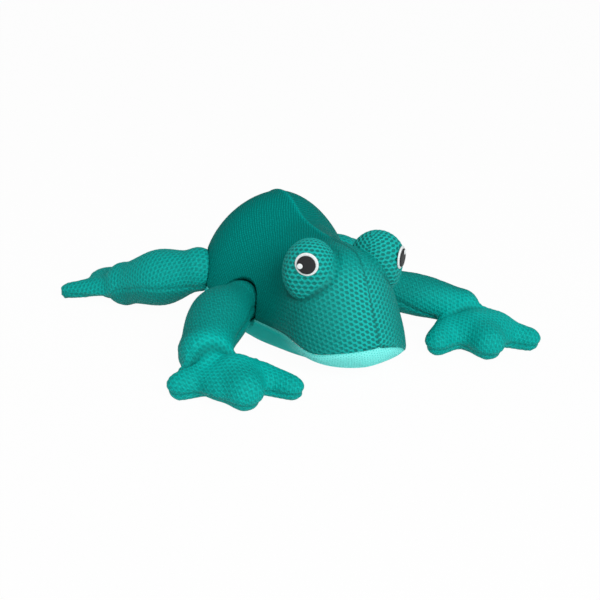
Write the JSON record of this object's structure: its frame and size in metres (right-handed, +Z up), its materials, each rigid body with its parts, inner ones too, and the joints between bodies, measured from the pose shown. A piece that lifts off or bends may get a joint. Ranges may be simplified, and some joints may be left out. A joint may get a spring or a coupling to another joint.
{
  "type": "cooling dog toy",
  "caption": "Sprawled stuffed frog of open spacer mesh with a smooth belly, raised eyes and jointed legs; soaked and frozen to cool a dog that chews it.",
  "frame": {"origin": "the middle of the belly's flat underside, on the floor that the frog lies on", "axes": "+Z up away from the floor, the frog faces -Y, and +X points to its left side"},
  "size_m": [0.2912, 0.2508, 0.0934],
  "materials": {
    "teal_mesh": "matt polyester spacer mesh",
    "aqua_knit": "smooth fine knit",
    "white_felt": "smooth sewn patch",
    "black_felt": "smooth sewn patch",
    "sponge": "absorbent core",
    "fibre": "loose polyester fibre"
  },
  "bodies": {
    "torso": {"body_panel_right": "teal_mesh", "body_panel_left": "teal_mesh", "belly_panel": "aqua_knit", "body_core": "sponge", "head_fill": "fibre", "eye_bulge_right": "teal_mesh", "eye_fill_right": "fibre", "eye_white_right": "white_felt", "pupil_right": "black_felt", "eye_glint_right": "white_felt", "eye_bulge_left": "teal_mesh", "eye_fill_left": "fibre", "eye_white_left": "white_felt", "pupil_left": "black_felt", "eye_glint_left": "white_felt"},
    "front_leg_right": {"front_leg_right_top": "teal_mesh", "front_leg_right_bottom": "teal_mesh", "front_leg_right_fill": "fibre"},
    "front_foot_right": {"front_foot_right_top": "teal_mesh", "front_foot_right_bottom": "teal_mesh", "front_foot_right_fill": "fibre"},
    "front_leg_left": {"front_leg_left_top": "teal_mesh", "front_leg_left_bottom": "teal_mesh", "front_leg_left_fill": "fibre"},
    "front_foot_left": {"front_foot_left_top": "teal_mesh", "front_foot_left_bottom": "teal_mesh", "front_foot_left_fill": "fibre"},
    "hind_leg_right": {"hind_leg_right_top": "teal_mesh", "hind_leg_right_bottom": "teal_mesh", "hind_leg_right_fill": "fibre"},
    "hind_foot_right": {"hind_foot_right_top": "teal_mesh", "hind_foot_right_bottom": "teal_mesh", "hind_foot_right_fill": "fibre"},
    "hind_leg_left": {"hind_leg_left_top": "teal_mesh", "hind_leg_left_bottom": "teal_mesh", "hind_leg_left_fill": "fibre"},
    "hind_foot_left": {"hind_foot_left_top": "teal_mesh", "hind_foot_left_bottom": "teal_mesh", "hind_foot_left_fill": "fibre"}
  },
  "joints": [
    {"name": "front_leg_right_lift", "type": "hinge", "parent": "torso", "child": "front_leg_right", "pos_m": [-0.05044, 0.01245, 0.032], "axis": [-0.8321, 0.5547, 0], "range_deg": [-25, 45], "stiffness_Nm_per_rad": 0.03},
    {"name": "front_foot_right_fold", "type": "hinge", "parent": "front_leg_right", "child": "front_foot_right", "pos_m": [-0.08644, -0.04155, 0.0198], "axis": [-0.9848, 0.1736, 0], "range_deg": [-25, 40], "stiffness_Nm_per_rad": 0.02},
    {"name": "front_leg_left_lift", "type": "hinge", "parent": "torso", "child": "front_leg_left", "pos_m": [0.04918, 0.00495, 0.03049], "axis": [-0.6111, -0.7916, 0], "range_deg": [-25, 45], "stiffness_Nm_per_rad": 0.03},
    {"name": "front_foot_left_fold", "type": "hinge", "parent": "front_leg_left", "child": "front_foot_left", "pos_m": [0.10619, -0.03905, 0.0198], "axis": [-0.9703, 0.2419, 0], "range_deg": [-25, 40], "stiffness_Nm_per_rad": 0.02},
    {"name": "hind_leg_right_lift", "type": "hinge", "parent": "torso", "child": "hind_leg_right", "pos_m": [-0.05939, 0.06318, 0.03845], "axis": [0.7792, 0.6268, 0], "range_deg": [-25, 45], "stiffness_Nm_per_rad": 0.03},
    {"name": "hind_foot_right_fold", "type": "hinge", "parent": "hind_leg_right", "child": "hind_foot_right", "pos_m": [-0.09639, 0.10918, 0.0198], "axis": [0.9397, 0.342, 0], "range_deg": [-25, 40], "stiffness_Nm_per_rad": 0.02},
    {"name": "hind_leg_left_lift", "type": "hinge", "parent": "torso", "child": "hind_leg_left", "pos_m": [0.05939, 0.06318, 0.03845], "axis": [0.7792, -0.6268, 0], "range_deg": [-25, 45], "stiffness_Nm_per_rad": 0.03},
    {"name": "hind_foot_left_fold", "type": "hinge", "parent": "hind_leg_left", "child": "hind_foot_left", "pos_m": [0.09639, 0.10918, 0.0198], "axis": [0.9397, -0.342, 0], "range_deg": [-25, 40], "stiffness_Nm_per_rad": 0.02}
  ]
}
